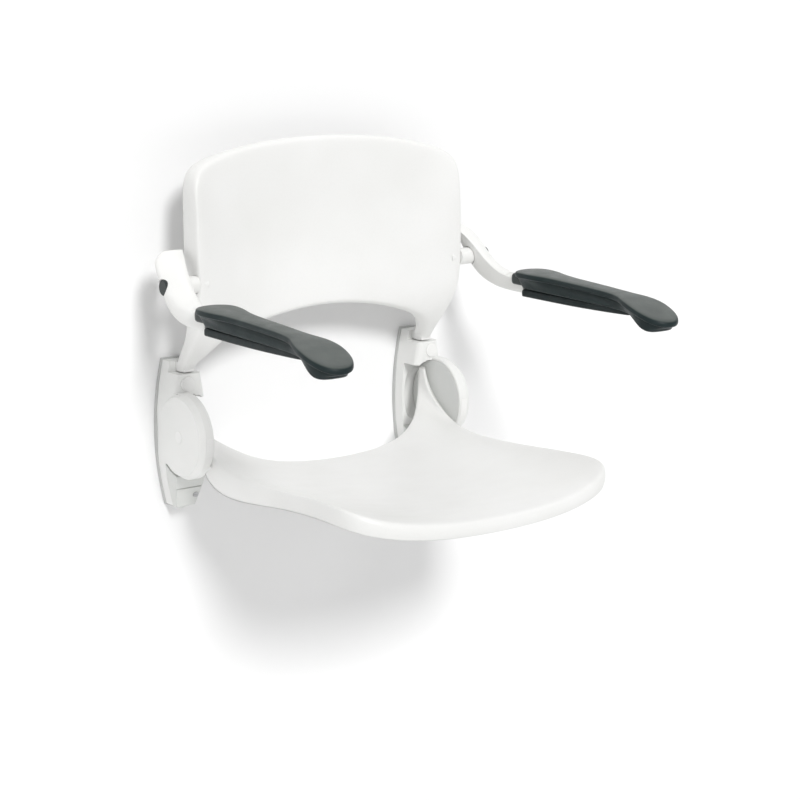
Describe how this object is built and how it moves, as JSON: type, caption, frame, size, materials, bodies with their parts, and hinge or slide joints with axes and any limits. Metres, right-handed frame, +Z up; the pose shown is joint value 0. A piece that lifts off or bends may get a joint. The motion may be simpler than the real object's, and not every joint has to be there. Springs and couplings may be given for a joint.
{
  "type": "shower chair",
  "caption": "Wall-hung fold-up shower seat with dished seat, curved backrest, swing-up padded arms and wall brackets.",
  "frame": {"origin": "centre of the wall screw pattern, on the wall plane", "axes": "+X to the right along the wall as seen from the room, +Y into the wall, +Z up"},
  "size_m": [0.563, 0.481, 0.4894],
  "materials": {
    "seat_plastic": "fine satin",
    "back_plastic": "fine satin",
    "plate_steel": "stainless",
    "bracket_paint": "powder coated light grey",
    "bracket_cover": "satin",
    "white_trim": "satin",
    "friction_grey": "matt",
    "bush_nylon": "smooth",
    "pin_steel": "ground",
    "bar_steel": "drawn",
    "screw_steel": "stainless",
    "arm_paint": "powder coated off-white",
    "pad_soft": "soft matt",
    "keel_soft": "matt",
    "dark_trim": "satin"
  },
  "bodies": {
    "frame": {"backrest_shell": "back_plastic", "wall_plate_right": "plate_steel", "wall_plate_left": "plate_steel", "plate_screws_right": "screw_steel", "plate_screws_left": "screw_steel", "housing_right": "bracket_paint", "housing_left": "bracket_paint", "lower_cover_right": "bracket_cover", "lower_cover_left": "bracket_cover", "cover_screw_right": "screw_steel", "cover_screw_left": "screw_steel", "screw_cap_right": "white_trim", "screw_cap_left": "white_trim", "rim_insert_right": "white_trim", "rim_insert_left": "white_trim", "hinge_pin_right": "pin_steel", "hinge_pin_left": "pin_steel", "hinge_plug_right": "white_trim", "hinge_plug_left": "white_trim", "thrust_washer_right": "bush_nylon", "thrust_washer_left": "bush_nylon", "foot_screw_right": "screw_steel", "foot_screw_left": "screw_steel", "arm_boss_right": "arm_paint", "arm_boss_left": "arm_paint", "arm_pin_right": "pin_steel", "arm_pin_left": "pin_steel", "arm_washer_right": "bush_nylon", "arm_washer_left": "bush_nylon"},
    "seat": {"seat_shell": "seat_plastic", "turning_disc_right": "friction_grey", "turning_disc_left": "friction_grey", "hinge_bush_right": "bush_nylon", "hinge_bush_left": "bush_nylon"},
    "arm_right": {"arm_beam_right": "arm_paint", "arm_bush_right": "bush_nylon", "pivot_cap_right": "dark_trim", "arm_pad_right": "pad_soft", "arm_keel_right": "keel_soft", "arm_bar_right": "bar_steel", "pad_screws_right": "screw_steel"},
    "arm_left": {"arm_beam_left": "arm_paint", "arm_bush_left": "bush_nylon", "pivot_cap_left": "dark_trim", "arm_pad_left": "pad_soft", "arm_keel_left": "keel_soft", "arm_bar_left": "bar_steel", "pad_screws_left": "screw_steel"}
  },
  "joints": [
    {"name": "seat_fold", "type": "hinge", "parent": "frame", "child": "seat", "pos_m": [0, -0.06, 0.003], "axis": [-1, 0, 0], "range_deg": [0, 82]},
    {"name": "arm_right_lift", "type": "hinge", "parent": "frame", "child": "arm_right", "pos_m": [0.25, -0.096, 0.208], "axis": [-1, 0, 0], "range_deg": [0, 100]},
    {"name": "arm_left_lift", "type": "hinge", "parent": "frame", "child": "arm_left", "pos_m": [-0.25, -0.096, 0.208], "axis": [-1, 0, 0], "range_deg": [0, 100]}
  ]
}
